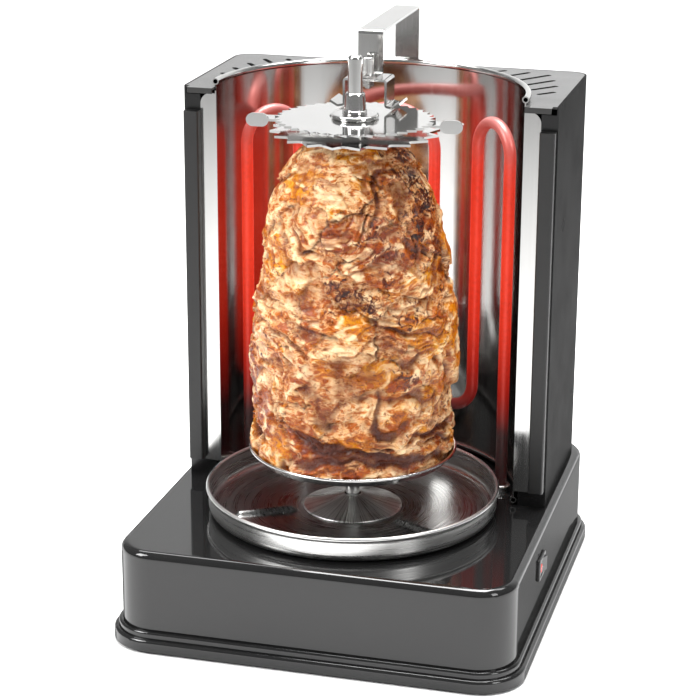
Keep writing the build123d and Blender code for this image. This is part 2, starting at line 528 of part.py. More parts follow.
half_key = KEY_LONG / 2
key_side = make_face(Polyline((-3.5, -half_key + 0.6), (2.6, -half_key), (1.5, 0), (2.6, half_key),
                              (-3.5, half_key - 0.6), (-3.5, -half_key + 0.6)))
key = extrude(Pos(0, 0, -KEY_TALL / 2) * key_side, KEY_TALL)
key += Cylinder(1.0, KEY_TALL + 1.8)
window = Pos(2.05, -half_key / 2, 0) * Rot(0, 0, 8.5) * Box(1.0, 3.2, 5.0)
settle = Pos(pivot_x, SWITCH_Y, SWITCH_Z) * Rot(0, 0, -KEY_TILT)
save(settle * (key - window), "rocker_key")
save(settle * window, "rocker_lens")

# ---------------------------------------------------------------- supply and wiring
gland = Pos(GLAND_X, half_d, GLAND_Z) * Rot(90, 0, 0)
sleeve = gland * Cylinder(GLAND_RADIUS - 2.1, 12)
sleeve += Pos(0, 1.6, 0) * (gland * Cylinder(GLAND_RADIUS, 3.2))
sleeve += Pos(0, -BASE_WALL - 1.5, 0) * (gland * Cylinder(GLAND_RADIUS - 0.6, 3.0))
save(sleeve - gland * Cylinder(CORD_HOLE, 30), "cord_gland")

BLOCK_X, BLOCK_Y = 70.0, 100.0
strip = block(BLOCK_X - 17, BLOCK_X + 17, BLOCK_Y - 9, BLOCK_Y + 9, FLOOR_TOP, FLOOR_TOP + 14)
for i in (-1, 0, 1):
    strip -= Pos(BLOCK_X + 11 * i, BLOCK_Y, FLOOR_TOP + 7) * Rot(90, 0, 0) * Cylinder(2.2, 30)
    strip -= rod(2.6, FLOOR_TOP + 9, FLOOR_TOP + 15, BLOCK_X + 11 * i, BLOCK_Y)
save(strip, "terminal_block")

CUT_X, CUT_Y = 66.0, 40.0
cutout = rod(8.0, ceiling - 7, ceiling, CUT_X, CUT_Y) + rod(5.0, ceiling - 10, ceiling, CUT_X, CUT_Y)
save(cutout, "thermal_cutout")


def lead(points, leave, enter):
    route = Spline(*points, tangents=(leave, enter))
    return sweep(Plane(origin=route @ 0, z_dir=route % 0) * Circle(1.2), path=route)


down, back, left = (0, 0, -1), (0, 1, 0), (-1, 0, 0)
pin_low = HEATER_END - 9
terminal = FLOOR_TOP + 7
rx, ry = heater_spots[1]
lx, ly = heater_spots[0]
block_front = BLOCK_Y - 9
tab_end = wall_face - 22
save(lead(((rx, ry, pin_low), (rx, ry + 14, pin_low - 22), (BLOCK_X + 11, block_front, terminal)),
          down, back), "heater_lead_right")
save(lead(((lx, ly, pin_low), (lx + 30, ly + 20, pin_low - 24),
           (BLOCK_X - 11, block_front, terminal)), down, back), "heater_lead_left")
save(lead(((0, AXIS_Y + CAN_RADIUS + 0.05, 34), (30, AXIS_Y + CAN_RADIUS + 40, 22),
           (BLOCK_X, block_front, terminal)), back, back), "motor_lead")
save(lead(((tab_end, SWITCH_Y + 5, SWITCH_Z), (tab_end - 8, SWITCH_Y + 50, 24),
           (BLOCK_X + 17.05, BLOCK_Y, terminal)), left, left), "switch_lead")
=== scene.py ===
"""Looks of an upright rotisserie oven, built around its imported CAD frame."""

import json
import math

import bpy
import numpy as np
from mathutils import Matrix, Vector


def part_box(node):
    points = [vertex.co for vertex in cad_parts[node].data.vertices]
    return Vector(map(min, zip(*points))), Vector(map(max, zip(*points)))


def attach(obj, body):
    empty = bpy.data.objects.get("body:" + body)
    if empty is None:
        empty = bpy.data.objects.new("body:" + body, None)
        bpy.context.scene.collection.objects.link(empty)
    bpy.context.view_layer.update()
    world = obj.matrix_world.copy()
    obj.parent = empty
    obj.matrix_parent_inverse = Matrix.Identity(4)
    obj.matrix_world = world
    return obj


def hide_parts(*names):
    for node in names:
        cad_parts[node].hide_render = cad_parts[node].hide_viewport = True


bl_info = {
    "name": "Upright rotisserie oven",
    "version": (1, 0, 0),
    "blender": (4, 5, 0),
    "location": "3D View > Sidebar > Rotisserie",
    "description": "Builds the visible pieces and finishes of an upright rotisserie oven",
    "category": "Object",
}

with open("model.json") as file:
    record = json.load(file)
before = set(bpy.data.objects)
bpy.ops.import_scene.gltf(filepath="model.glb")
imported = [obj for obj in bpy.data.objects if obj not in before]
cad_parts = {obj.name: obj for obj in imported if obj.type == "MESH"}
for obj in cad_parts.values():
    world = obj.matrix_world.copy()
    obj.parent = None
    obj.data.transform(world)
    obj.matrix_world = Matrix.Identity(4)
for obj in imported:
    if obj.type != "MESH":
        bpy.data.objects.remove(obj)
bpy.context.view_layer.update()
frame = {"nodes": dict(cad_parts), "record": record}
RECORD = frame["record"]
NODES = frame["nodes"]
JOINTS = {j["name"]: j for j in RECORD["behaviour"]["joints"]}
AXIS_Y = JOINTS["spit_turn"]["pos_m"][1]
SLOT_OF = {s["node"]: s["material_slot"] for s in RECORD["subparts"]}

# Slots whose material has a name of its own.
OWN_NAME = {"heater_sheath": "heater_glow", "roast_meat": "roast_crust"}

MM = 1000.0  # millimetres in a metre
FINE_RELIEF = 0.00002  # depth in metres of drawn lines and orange peel
GRAIN_RELIEF = 0.00003  # depth in metres of cast and moulded grain
ANGLE_REACH = 0.06  # metres that one radian about the spit counts for in a texture


def low(node):
    """Lowest corner of a CAD node's box, as an array."""
    return np.array(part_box(node)[0])


def high(node):
    """Highest corner of a CAD node's box, as an array."""
    return np.array(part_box(node)[1])


def toned(colour, share):
    """The colour with every channel times that share."""
    return tuple(c * share for c in colour)


# ---------------------------------------------------------------- finishes


class Finish:
    """Small writer of a node tree around one Principled shader."""

    def __init__(self, name, **constants):
        self.mat = bpy.data.materials.get(name) or bpy.data.materials.new(name)
        self.mat.use_nodes = True
        self.tree = self.mat.node_tree
        self.tree.nodes.clear()
        self.out = self.node("ShaderNodeOutputMaterial")
        self.skin = self.node("ShaderNodeBsdfPrincipled")
        self.link(self.skin.outputs[0], self.out.inputs[0])
        for key, value in constants.items():
            self.skin.inputs[key.replace("_", " ")].default_value = value
        self.place = self.node("ShaderNodeTexCoord").outputs["Object"]
        self.fine = None

    def node(self, kind, **settings):
        """A new node of that kind with its settings."""
        made = self.tree.nodes.new(kind)
        for key, value in settings.items():
            setattr(made, key, value)
        return made

    def link(self, a, b):
        self.tree.links.new(a, b)

    def feed(self, socket, value):
        """Links an output to the socket, or gives the socket a constant."""
        if isinstance(value, bpy.types.NodeSocket):
            self.link(value, socket)
        else:
            socket.default_value = value

    def scaled(self, scale, source=None):
        """Object place stretched by scale, so one noise gives streaks or speckle."""
        made = self.node("ShaderNodeMapping")
        self.link(source or self.place, made.inputs["Vector"])
        made.inputs["Scale"].default_value = scale
        return made.outputs[0]

    def noise(self, scale, detail=3.0, rough=0.55, where=None, twist=0.0):
        """Cloudy noise from 0 to 1; a twist above 0 swirls it."""
        made = self.node("ShaderNodeTexNoise")
        self.link(where or self.place, made.inputs["Vector"])
        made.inputs["Scale"].default_value = scale
        made.inputs["Detail"].default_value = detail
        made.inputs["Roughness"].default_value = rough
        made.inputs["Distortion"].default_value = twist
        return made.outputs["Fac"]

    def cells(self, scale):
        """Distance to the nearest of points strewn at that scale."""
        made = self.node("ShaderNodeTexVoronoi")
        self.link(self.place, made.inputs["Vector"])
        made.inputs["Scale"].default_value = scale
        return made.outputs["Distance"]

    def ramp(self, value, *stops):
        """Colour read off stops of (place, colour) by a value from 0 to 1."""
        made = self.node("ShaderNodeValToRGB")
        dots = made.color_ramp.elements
        while len(dots) < len(stops):
            dots.new(0.5)
        for dot, (at, colour) in zip(dots, stops):
            dot.position = at
            dot.color = (*colour, 1.0)
        self.feed(made.inputs[0], value)
        return made.outputs[0]

    def range(self, value, a, b, c, d, smooth=False):
        """Maps a..b onto c..d, clamped."""
        made = self.node("ShaderNodeMapRange")
        made.interpolation_type = "SMOOTHSTEP" if smooth else "LINEAR"
        self.feed(made.inputs[0], value)
        for i, v in enumerate((a, b, c, d)):
            made.inputs[i + 1].default_value = v
        return made.outputs[0]

    def math(self, how, a, b=None):
        """One sum on numbers or outputs."""
        made = self.node("ShaderNodeMath", operation=how)
        self.feed(made.inputs[0], a)
        if b is not None:
            self.feed(made.inputs[1], b)
        return made.outputs[0]

    def blend(self, share, a, b, how="MIX"):
        """Colour a, with that share of b laid over it."""
        made = self.node("ShaderNodeMix", data_type="RGBA", blend_type=how)
        self.feed(made.inputs["Factor"], share)
        colours = [i for i in made.inputs if i.type == "RGBA"]
        for socket, value in zip(colours, (a, b)):
            self.feed(socket, (*value, 1.0) if isinstance(value, tuple) else value)
        return [o for o in made.outputs if o.type == "RGBA"][0]

    def split(self, where=None):
        """The three numbers of a place."""
        made = self.node("ShaderNodeSeparateXYZ")
        self.link(where or self.place, made.inputs[0])
        return made.outputs

    def join(self, x, y, z):
        """A place made of three numbers."""
        made = self.node("ShaderNodeCombineXYZ")
        for socket, value in zip(made.inputs, (x, y, z)):
            self.feed(socket, value)
        return made.outputs[0]

    def round_place(self):
        """Distance from the spit's axis, angle about it times a small length, and height."""
        x, y, z = self.split()
        dy = self.math("SUBTRACT", y, AXIS_Y)
        far = self.math("SQRT", self.math("ADD", self.math("MULTIPLY", x, x),
                                          self.math("MULTIPLY", dy, dy)))
        angle = self.math("MULTIPLY", self.math("ARCTAN2", x, dy), ANGLE_REACH)
        return self.join(far, angle, z)

    def attribute(self, name):
        """A number that the mesh carries at each vertex."""
        return self.node("ShaderNodeAttribute", attribute_name=name).outputs["Fac"]

    def bump(self, height, depth, strength=1.0):
        """Adds relief of that depth in metres on top of any before it."""
        made = self.node("ShaderNodeBump")
        made.inputs["Strength"].default_value = strength
        made.inputs["Distance"].default_value = depth
        self.link(height, made.inputs["Height"])
        if self.fine:
            self.link(self.fine, made.inputs["Normal"])
        self.fine = made.outputs[0]
        self.link(self.fine, self.skin.inputs["Normal"])

    def set(self, socket, value):
        """Links an output to one of the shader's sockets."""
        self.link(value, self.skin.inputs[socket])


def gloss_black(name, dark, pale, rough, facing=0.8, edge=0.12, turn=(0.69, 0.79)):
    """Piano-black lacquer: two near blacks, polishing haze, dust and orange peel.

    facing and edge are the lacquer's share seen straight on and at a grazing angle, over
    a plain matt black. The share changes within turn, a range of the facing value.
    """
    f = Finish(name, Metallic=0.0, IOR=1.5)
    slant = f.node("ShaderNodeLayerWeight")
    slant.inputs["Blend"].default_value = 0.5
    matt = f.node("ShaderNodeBsdfDiffuse")
    matt.inputs["Color"].default_value = (*pale, 1.0)
    both = f.node("ShaderNodeMixShader")
    f.link(f.range(slant.outputs["Facing"], *turn, 1.0 - facing, 1.0 - edge, True),
           both.inputs[0])
    f.link(f.skin.outputs[0], both.inputs[1])
    f.link(matt.outputs[0], both.inputs[2])
    f.link(both.outputs[0], f.out.inputs[0])
    cloud = f.noise(9.0, 4.0)
    dust = f.range(f.cells(900.0), 0.0, 0.16, 1.0, 0.0)
    sparse = f.math("MULTIPLY", dust, f.range(f.noise(45.0, 2.0), 0.60, 0.74, 0.0, 0.5))
    body = f.blend(cloud, dark, pale)
    f.set("Base Color", f.blend(sparse, body, (0.16, 0.155, 0.15)))
    haze = f.range(f.noise(26.0, 5.0, 0.6), 0.35, 0.75, rough * 0.75, rough * 1.5)
    f.set("Roughness", f.math("ADD", haze, f.math("MULTIPLY", sparse, 0.35)))
    f.bump(f.noise(260.0, 1.0), FINE_RELIEF, 0.25)
    return f.mat


def streaked_steel(name, colour, rough, stretch, shade=0.12):
    """Polished or brushed sheet: stretched noise gives the drawn lines along one way."""
    f = Finish(name, Metallic=1.0)
    lines = f.noise(1.0, 4.0, 0.65, f.scaled(stretch))
    cloud = f.noise(14.0, 4.0)
    tone = f.blend(lines, toned(colour, 1.0 - shade), colour)
    tone = f.blend(f.range(cloud, 0.4, 0.75, 0.0, 0.25), tone, toned(colour, 0.82))
    f.set("Base Color", tone)
    base = f.range(lines, 0.3, 0.7, rough * 0.7, rough * 1.35)
    f.set("Roughness", f.math("ADD", base, f.range(cloud, 0.45, 0.8, 0.0, rough * 0.5)))
    f.bump(lines, FINE_RELIEF, 0.5)
    return f.mat


def turned_steel(name, colour, rough, rings, depth=FINE_RELIEF, shade=0.12, painted_floor_shade=None):
    """Spun or turned steel: noise read along the radius and height leaves rings.

    The last argument, (radius, height, share), paints shade: inside that radius and below that
    height the tone falls by that share towards near black, standing in for the dark reflection
    on a pan's floor.
    """
    f = Finish(name, Metallic=1.0)
    where = f.round_place()
    lines = f.noise(1.0, 4.0, 0.65, f.scaled((rings, 14.0, rings), source=where))
    cloud = f.noise(22.0, 4.0)
    tone = f.blend(lines, toned(colour, 1.0 - shade), colour)
    smear = f.range(cloud, 0.42, 0.72, 0.0, 0.35)
    tone = f.blend(smear, tone, toned(colour, 0.72))
    # Painted shade: the floor inside the pan is darkened towards near black for the dark things
    # it reflects.
    if painted_floor_shade:
        radius, height, share = painted_floor_shade
        far, _, level = f.split(where)
        inside = f.math("MULTIPLY", f.range(far, radius, radius + 0.003, 1.0, 0.0, True),
                        f.range(level, height, height + 0.001, 1.0, 0.0, True))
        tone = f.blend(f.math("MULTIPLY", inside, share), tone, (0.02, 0.02, 0.021))
    f.set("Base Color", tone)
    base = f.range(lines, 0.3, 0.7, rough * 0.7, rough * 1.35)
    f.set("Roughness", f.math("ADD", base, f.math("MULTIPLY", smear, rough * 0.6)))
    f.bump(lines, depth, 0.5)
    return f.mat


def fanned_steel(name, colour, rough, spokes):
    """Steel polished outward: noise read by angle about the spit leaves fine spokes in the
    colour, partly polishing lines and partly a painted radial sheen.
    """
    f = Finish(name, Metallic=1.0)
    stretch = (18.0, spokes * 22.0, 18.0)
    lines = f.noise(1.0, 4.0, 0.65, f.scaled(stretch, source=f.round_place()))
    cloud = f.noise(60.0, 3.0)
    # Spokes swing the colour between half and full: partly polishing lines, partly painted
    # sheen.
    spokes_and_sheen = f.range(lines, 0.35, 0.65, 0.0, 1.0)
    f.set("Base Color", f.blend(spokes_and_sheen, toned(colour, 0.50), colour))
    base = f.range(lines, 0.3, 0.7, rough * 0.7, rough * 1.5)
    f.set("Roughness", f.math("ADD", base, f.range(cloud, 0.4, 0.8, 0.0, 0.08)))
    f.bump(lines, FINE_RELIEF, 0.5)
    return f.mat


def plain_metal(name, colour, rough, grain=700.0):
    """Plated or cast metal: fine grain, faint stains and a soft relief."""
    f = Finish(name, Metallic=1.0)
    grainy = f.noise(grain, 3.0)
    stain = f.noise(40.0, 4.0)
    f.set("Base Color", f.blend(f.range(stain, 0.4, 0.75, 0.0, 0.6), colour,
                                toned(colour, 0.75)))
    f.set("Roughness", f.range(grainy, 0.3, 0.7, rough * 0.8, rough * 1.3))
    f.bump(grainy, GRAIN_RELIEF, 0.4)
    return f.mat


def moulded(name, dark, pale, rough, grain=900.0):
    """Moulded plastic, rubber or ceramic: pebbled relief and a mottled tone."""
    f = Finish(name, Metallic=0.0)
    pebble = f.noise(grain, 2.0)
    f.set("Base Color", f.blend(f.noise(60.0, 4.0), dark, pale))
    f.set("Roughness", f.range(pebble, 0.3, 0.7, rough * 0.85, min(1.0, rough * 1.2)))
    f.bump(pebble, GRAIN_RELIEF, 0.5)
    return f.mat


def glowing_tube():
    """Heater sheath: grey cold ends below, red in the middle, paler and cooler at the bends."""
    look = bpy.context.scene.rotisserie_finish
    f = Finish(OWN_NAME["heater_sheath"], Metallic=0.35, Specular_IOR_Level=0.35,
               Emission_Strength=look.glow)
    z = f.split()[2]
    foot, crown = 0.07, 0.33  # heights in metres between which the tones run
    drift = f.math("MULTIPLY", f.math("SUBTRACT", f.noise(18.0, 3.0), 0.5), 0.02)
    level = f.range(f.math("ADD", z, drift), foot, crown, 0.0, 1.0)
    f.set("Base Color", f.ramp(level, (0.0, (0.06, 0.055, 0.055)), (0.14, (0.07, 0.05, 0.05)),
                               (0.26, (0.30, 0.03, 0.02)), (0.80, (0.42, 0.05, 0.03)),
                               (1.0, (0.36, 0.16, 0.15))))
    scale = f.noise(420.0, 4.0, 0.6)
    glow = f.ramp(level, (0.0, (0.0, 0.0, 0.0)), (0.15, (0.004, 0.0, 0.0)),
                  (0.27, (0.35, 0.008, 0.004)), (0.42, (0.80, 0.030, 0.012)),
                  (0.62, (1.0, 0.050, 0.022)), (0.84, (0.75, 0.030, 0.015)),
                  (0.95, (0.22, 0.02, 0.015)))
    f.set("Emission Color", f.blend(f.range(scale, 0.35, 0.75, 0.0, 0.3), glow,
                                    (0.12, 0.004, 0.002)))
    f.set("Roughness", f.range(scale, 0.3, 0.7, 0.28, 0.5))
    f.bump(scale, 0.00005, 0.4)
    return f.mat


def roast():
    """Roasted meat: pink and cream flesh, golden and brown crust, char and wet fat, with painted
    shade in creases and fold hollows and pale cream on fold crests, partly a painted highlight.
    """
    f = Finish(OWN_NAME["roast_meat"], Metallic=0.0, Specular_IOR_Level=0.36,
               Subsurface_Weight=0.10, Subsurface_Radius=(0.010, 0.004, 0.002),
               Subsurface_Scale=0.3)
    warp = f.scaled((1, 1, 1.7))
    big = f.noise(38.0, 4.0, 0.6, warp, 0.8)
    mid = f.noise(110.0, 5.0, 0.62, warp, 1.0)
    fine = f.noise(420.0, 4.0, 0.6)
    flesh = f.ramp(mid, (0.28, (0.32, 0.090, 0.030)), (0.42, (0.54, 0.235, 0.100)),
                   (0.50, (0.76, 0.500, 0.300)), (0.62, (0.90, 0.720, 0.500)))
    gold = f.ramp(mid, (0.28, (0.24, 0.055, 0.004)), (0.42, (0.46, 0.150, 0.010)),
                  (0.55, (0.64, 0.290, 0.040)), (0.70, (0.82, 0.520, 0.160)))
    brown = f.ramp(mid, (0.32, (0.070, 0.012, 0.004)), (0.48, (0.26, 0.055, 0.010)),
                   (0.66, (0.50, 0.165, 0.035)))

    def share(name, lean, a, b):
        """A vertex mask broken up by noise, so its edge is ragged."""
        wobble = f.math("MULTIPLY", f.math("SUBTRACT", lean, 0.5), 3.2)
        return f.range(f.math("ADD", f.attribute(name), wobble), a, b, 0.0, 1.0, True)

    tone = f.blend(share("gold", big, 0.42, 0.86), flesh, gold)
    burnt = f.noise(150.0, 5.0, 0.65, warp, 1.4)
    fringe = f.math("MULTIPLY", share("brown", burnt, 0.30, 0.62),
                    f.range(burnt, 0.50, 0.62, 0.0, 0.85))
    tone = f.blend(fringe, tone, (0.24, 0.065, 0.012))
    tone = f.blend(share("brown", mid, 0.52, 0.88), tone, brown)
    # Pale cream laid only on fold crests: partly fat, partly a painted highlight.
    pale = f.range(f.noise(70.0, 4.0, 0.6, warp, 1.0), 0.48, 0.60, 0.0, 0.9)
    tone = f.blend(f.math("MULTIPLY", pale, f.attribute("ridge")), tone, (0.92, 0.76, 0.54))
    speck = f.noise(210.0, 5.0, 0.7, None, 1.2)
    tone = f.blend(share("char", speck, 0.35, 0.75), tone, (0.13, 0.030, 0.008))
    tone = f.blend(share("char", speck, 0.70, 1.05), tone, (0.025, 0.010, 0.006))
    # Painted shade: the tone is darkened by multiplying where the fold crests are low, in the
    # hollows.
    tone = f.blend(f.range(f.attribute("ridge"), 0.1, 0.8, 0.75, 0.0), tone,
                   f.blend(1.0, tone, (0.40, 0.20, 0.10), "MULTIPLY"))
    # Painted shade: creases between slices and hollows of the folds are darkened towards near
    # black brown.
    gap = f.attribute("gap")
    tone = f.blend(f.math("MULTIPLY", gap, 0.9), tone, (0.075, 0.016, 0.005))
    rich = f.node("ShaderNodeHueSaturation")
    rich.inputs["Saturation"].default_value = 1.16
    f.link(tone, rich.inputs["Color"])
    punch = f.node("ShaderNodeGamma")
    punch.inputs["Gamma"].default_value = 1.20
    f.link(rich.outputs[0], punch.inputs["Color"])
    f.set("Base Color", punch.outputs[0])
    f.set("Roughness", f.range(fine, 0.32, 0.68, 0.18, 0.48))
    f.bump(mid, 0.0016, 0.6)
    f.bump(burnt, 0.0010, 0.5)
    f.bump(fine, 0.0003, 0.5)
    return f.mat


def red_window():
    """Lit rocker legend: translucent red, brighter and darker in a fine cloud."""
    f = Finish("red_window", Metallic=0.0, Emission_Strength=0.25)
    cloud = f.noise(500.0, 3.0)
    f.set("Base Color", f.blend(cloud, (0.45, 0.015, 0.01), (0.7, 0.05, 0.03)))
    f.set("Emission Color", f.blend(cloud, (0.5, 0.01, 0.005), (1.0, 0.05, 0.02)))
    f.set("Roughness", f.range(cloud, 0.3, 0.7, 0.15, 0.3))
    return f.mat


def finishes():
    """The record's material slots, each with its own node tree."""
    look = bpy.context.scene.rotisserie_finish
    black = tuple(look.enamel)

    def dim(share):
        return toned(tuple(look.steel), share)

    kinds = {
        "gloss_black_shell": (gloss_black, black, dim(0.014), 0.06, 0.95, 0.16),
        "gloss_black_trim": (gloss_black, black, dim(0.016), 0.10, 1.0, 0.25),
        "tower_enamel": (gloss_black, black, dim(0.010), 0.20, 0.9, 0.08, (0.45, 0.70)),
        "tower_lid_gloss": (gloss_black, dim(0.03), dim(0.045), 0.16, 1.0, 1.0),
        "matte_trim": (moulded, dim(0.008), dim(0.014), 0.40, 1200.0),
        "mirror_steel": (streaked_steel, dim(0.74), 0.10, (320, 320, 2.0), 0.22),
        "ferrule_steel": (plain_metal, dim(0.7), 0.3),
        "plate_steel": (turned_steel, dim(0.86), 0.16, 900.0),
        # The pan's last value paints shade on its floor.
        "pan_steel": (turned_steel, dim(0.80), 0.27, 700.0, FINE_RELIEF / 10, 0.10,
                      (0.092, 0.0725, 0.70)),
        "cone_steel": (fanned_steel, dim(1.0), 0.28, 36.0),
        "disc_steel": (streaked_steel, dim(0.84), 0.07, (60, 60, 60)),
        "rod_steel": (turned_steel, dim(0.80), 0.12, 1400.0),
        "strap_steel": (streaked_steel, dim(0.66), 0.15, (1500, 25, 25)),
        "knurl_steel": (plain_metal, dim(0.85), 0.22),
        "screw_steel": (plain_metal, dim(0.8), 0.28),
        "zinc_sheet": (plain_metal, dim(0.7), 0.38, 120.0),
        "motor_can": (plain_metal, dim(0.74), 0.33),
        "bearing_bronze": (plain_metal, (0.55, 0.38, 0.18), 0.34),
        "ceramic_white": (moulded, (0.72, 0.69, 0.62), (0.84, 0.82, 0.77), 0.6),
        "black_rubber": (moulded, (0.012, 0.012, 0.012), (0.03, 0.03, 0.03), 0.75),
        "switch_plastic": (moulded, (0.008, 0.008, 0.008), (0.02, 0.02, 0.02), 0.3),
        "lead_sleeve": (moulded, (0.62, 0.58, 0.50), (0.78, 0.75, 0.68), 0.7),
    }
    made = {slot: kind(slot, *values) for slot, (kind, *values) in kinds.items()}
    made.update(heater_sheath=glowing_tube(), roast_meat=roast(), red_window=red_window())
    return made


# ---------------------------------------------------------------- surfaces


def wrap_noise(p, seed, period=32):
    """Smooth value noise of points p (n, 3), from a seeded random box that repeats."""
    table = np.random.default_rng(seed).random((period,) * 3)
    base = np.floor(p).astype(int)
    t = p - base
    t = t * t * t * (t * (t * 6 - 15) + 10)
    total = np.zeros(len(p))
    for dx in (0, 1):
        for dy in (0, 1):
            for dz in (0, 1):
                i = (base + (dx, dy, dz)) % period
                w = (np.where(dx, t[:, 0], 1 - t[:, 0]) * np.where(dy, t[:, 1], 1 - t[:, 1])
                     * np.where(dz, t[:, 2], 1 - t[:, 2]))
                total += w * table[i[:, 0], i[:, 1], i[:, 2]]
    return total * 2 - 1


def cloud(p, size, seed, octaves=4, fall=0.5):
    """Sum of wrap_noise layers, each half the size and fall times the height of the last."""
    total, gain = np.zeros(len(p)), 1.0
    for k in range(octaves):
        total += gain * wrap_noise(p / size * 2**k, seed + k)
        gain *= fall
    return total


def ease(x, a, b):
    """0 below a, 1 above b, smooth between."""
    t = np.clip((x - a) / (b - a), 0.0, 1.0)
    return t * t * (3 - 2 * t)


def wrapped_grid(name, points, slot, body, node, masks=None, ring=False):
    """Piece with a mesh of a (rows, columns, 3) array, closed round its columns.

    Its ends are closed by fans, or, for a ring, the last row joins the first. Masks give
    each vertex a number by name.
    """
    rows, cols = points.shape[:2]
    verts = points.reshape(-1, 3)
    i = np.arange(rows * cols).reshape(rows, cols)
    if ring:
        i = np.vstack([i, i[:1]])
    j = np.roll(i, -1, axis=1)
    faces = np.stack([i[:-1], j[:-1], j[1:], i[1:]], -1).reshape(-1, 4).tolist()
    if not ring:
        verts = np.vstack([verts, points[0].mean(0), points[-1].mean(0)])
        first, last = rows * cols, rows * cols + 1
        faces += np.stack([j[0], i[0], np.full(cols, first)], -1).tolist()
        faces += np.stack([i[-1], j[-1], np.full(cols, last)], -1).tolist()
    mesh = bpy.data.meshes.new(name)
    mesh.from_pydata(verts.tolist(), [], faces)
    mesh.polygons.foreach_set("use_smooth", [True] * len(mesh.polygons))
    for key, mask in (masks or {}).items():
        full = np.zeros(len(verts), np.float32)
        full[: rows * cols] = mask.reshape(-1)
        mesh.attributes.new(key, "FLOAT", "POINT").data.foreach_set("value", full)
    piece = bpy.data.objects.new(name, mesh)
    bpy.context.scene.collection.objects.link(piece)
    mesh.materials.append(bpy.data.materials[OWN_NAME.get(slot, slot)])
    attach(piece, body)
    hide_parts(node)
    return piece


# Slices of meat on the near side: turn from the front in degrees (to the right is +),
# height as a share of the load, then how golden, how brown and how charred it is.
SLICES = (
    (-28, 0.95, 0.5, 0.3, 0.0), (8, 0.94, 0.9, 0.2, 0.0), (34, 0.93, 0.5, 0.7, 0.5),
    (-8, 0.88, 0.1, 0.1, 0.0), (-52, 0.86, 0.6, 0.2, 0.0), (55, 0.86, 0.2, 0.5, 0.9),
    (30, 0.83, 0.1, 0.1, 0.3), (-6, 0.75, 0.5, 1.0, 0.1), (-38, 0.78, 0.1, 0.1, 0.0),
    (22, 0.74, 0.5, 0.9, 0.5), (52, 0.72, 0.2, 0.8, 0.8), (-62, 0.68, 0.9, 0.3, 0.1),
    (14, 0.66, 0.3, 0.9, 0.2), (-22, 0.66, 0.1, 0.4, 0.0), (40, 0.64, 0.5, 0.1, 0.0),
    (-40, 0.60, 0.1, 0.1, 0.0), (4, 0.58, 0.1, 0.2, 0.6), (-20, 0.54, 0.7, 0.8, 0.0),
    (30, 0.54, 0.1, 0.0, 0.4), (62, 0.54, 0.4, 0.6, 0.6), (-52, 0.50, 0.2, 0.4, 0.0),
    (-4, 0.47, 0.3, 0.1, 0.0), (14, 0.46, 0.8, 0.8, 0.1), (44, 0.44, 0.9, 0.3, 0.0),
    (-32, 0.43, 0.6, 0.6, 0.0), (-10, 0.39, 0.1, 0.0, 0.0), (28, 0.37, 0.1, 0.1, 0.0),
    (-60, 0.36, 0.1, 0.3, 0.3), (8, 0.33, 0.9, 0.2, 0.1), (24, 0.30, 0.3, 0.9, 0.6),
    (-36, 0.30, 0.4, 0.8, 0.1), (50, 0.30, 0.9, 0.3, 0.1), (-14, 0.25, 0.2, 0.3, 0.0),
    (-54, 0.20, 0.4, 0.7, 0.2), (6, 0.20, 0.1, 0.0, 0.1), (36, 0.20, 0.7, 0.2, 0.1),
    (-30, 0.14, 0.3, 0.7, 0.0), (14, 0.13, 0.6, 0.6, 0.1), (-50, 0.07, 0.9, 0.1, 0.0),
    (52, 0.11, 0.3, 0.6, 0.3), (-20, 0.06, 0.4, 0.8, 0.1), (30, 0.05, 0.6, 0.6, 0.2),
    (2, 0.02, 0.5, 0.6, 0.0), (60, 0.03, 0.1, 0.4, 0.0))


FRONT = math.radians(15)  # turn of the load's near side about the spit
FRONT_HALF = math.radians(78)  # the slices above lie within this of the near side
BACK_SEEDS = 70  # random slices on the rest of the load
GOLDEN_SHARE = 0.618034  # step that strews them evenly
END_RINGS = 14  # rings that close each end
LEAN = ((0, 0.1, 0.3, 0.45, 0.6, 0.8, 0.95, 1),
        (-0.5, 0.3, 0.2, -0.5, 0.5, 0.3, -1.2, -2.0))  # share of height, then lean in mm


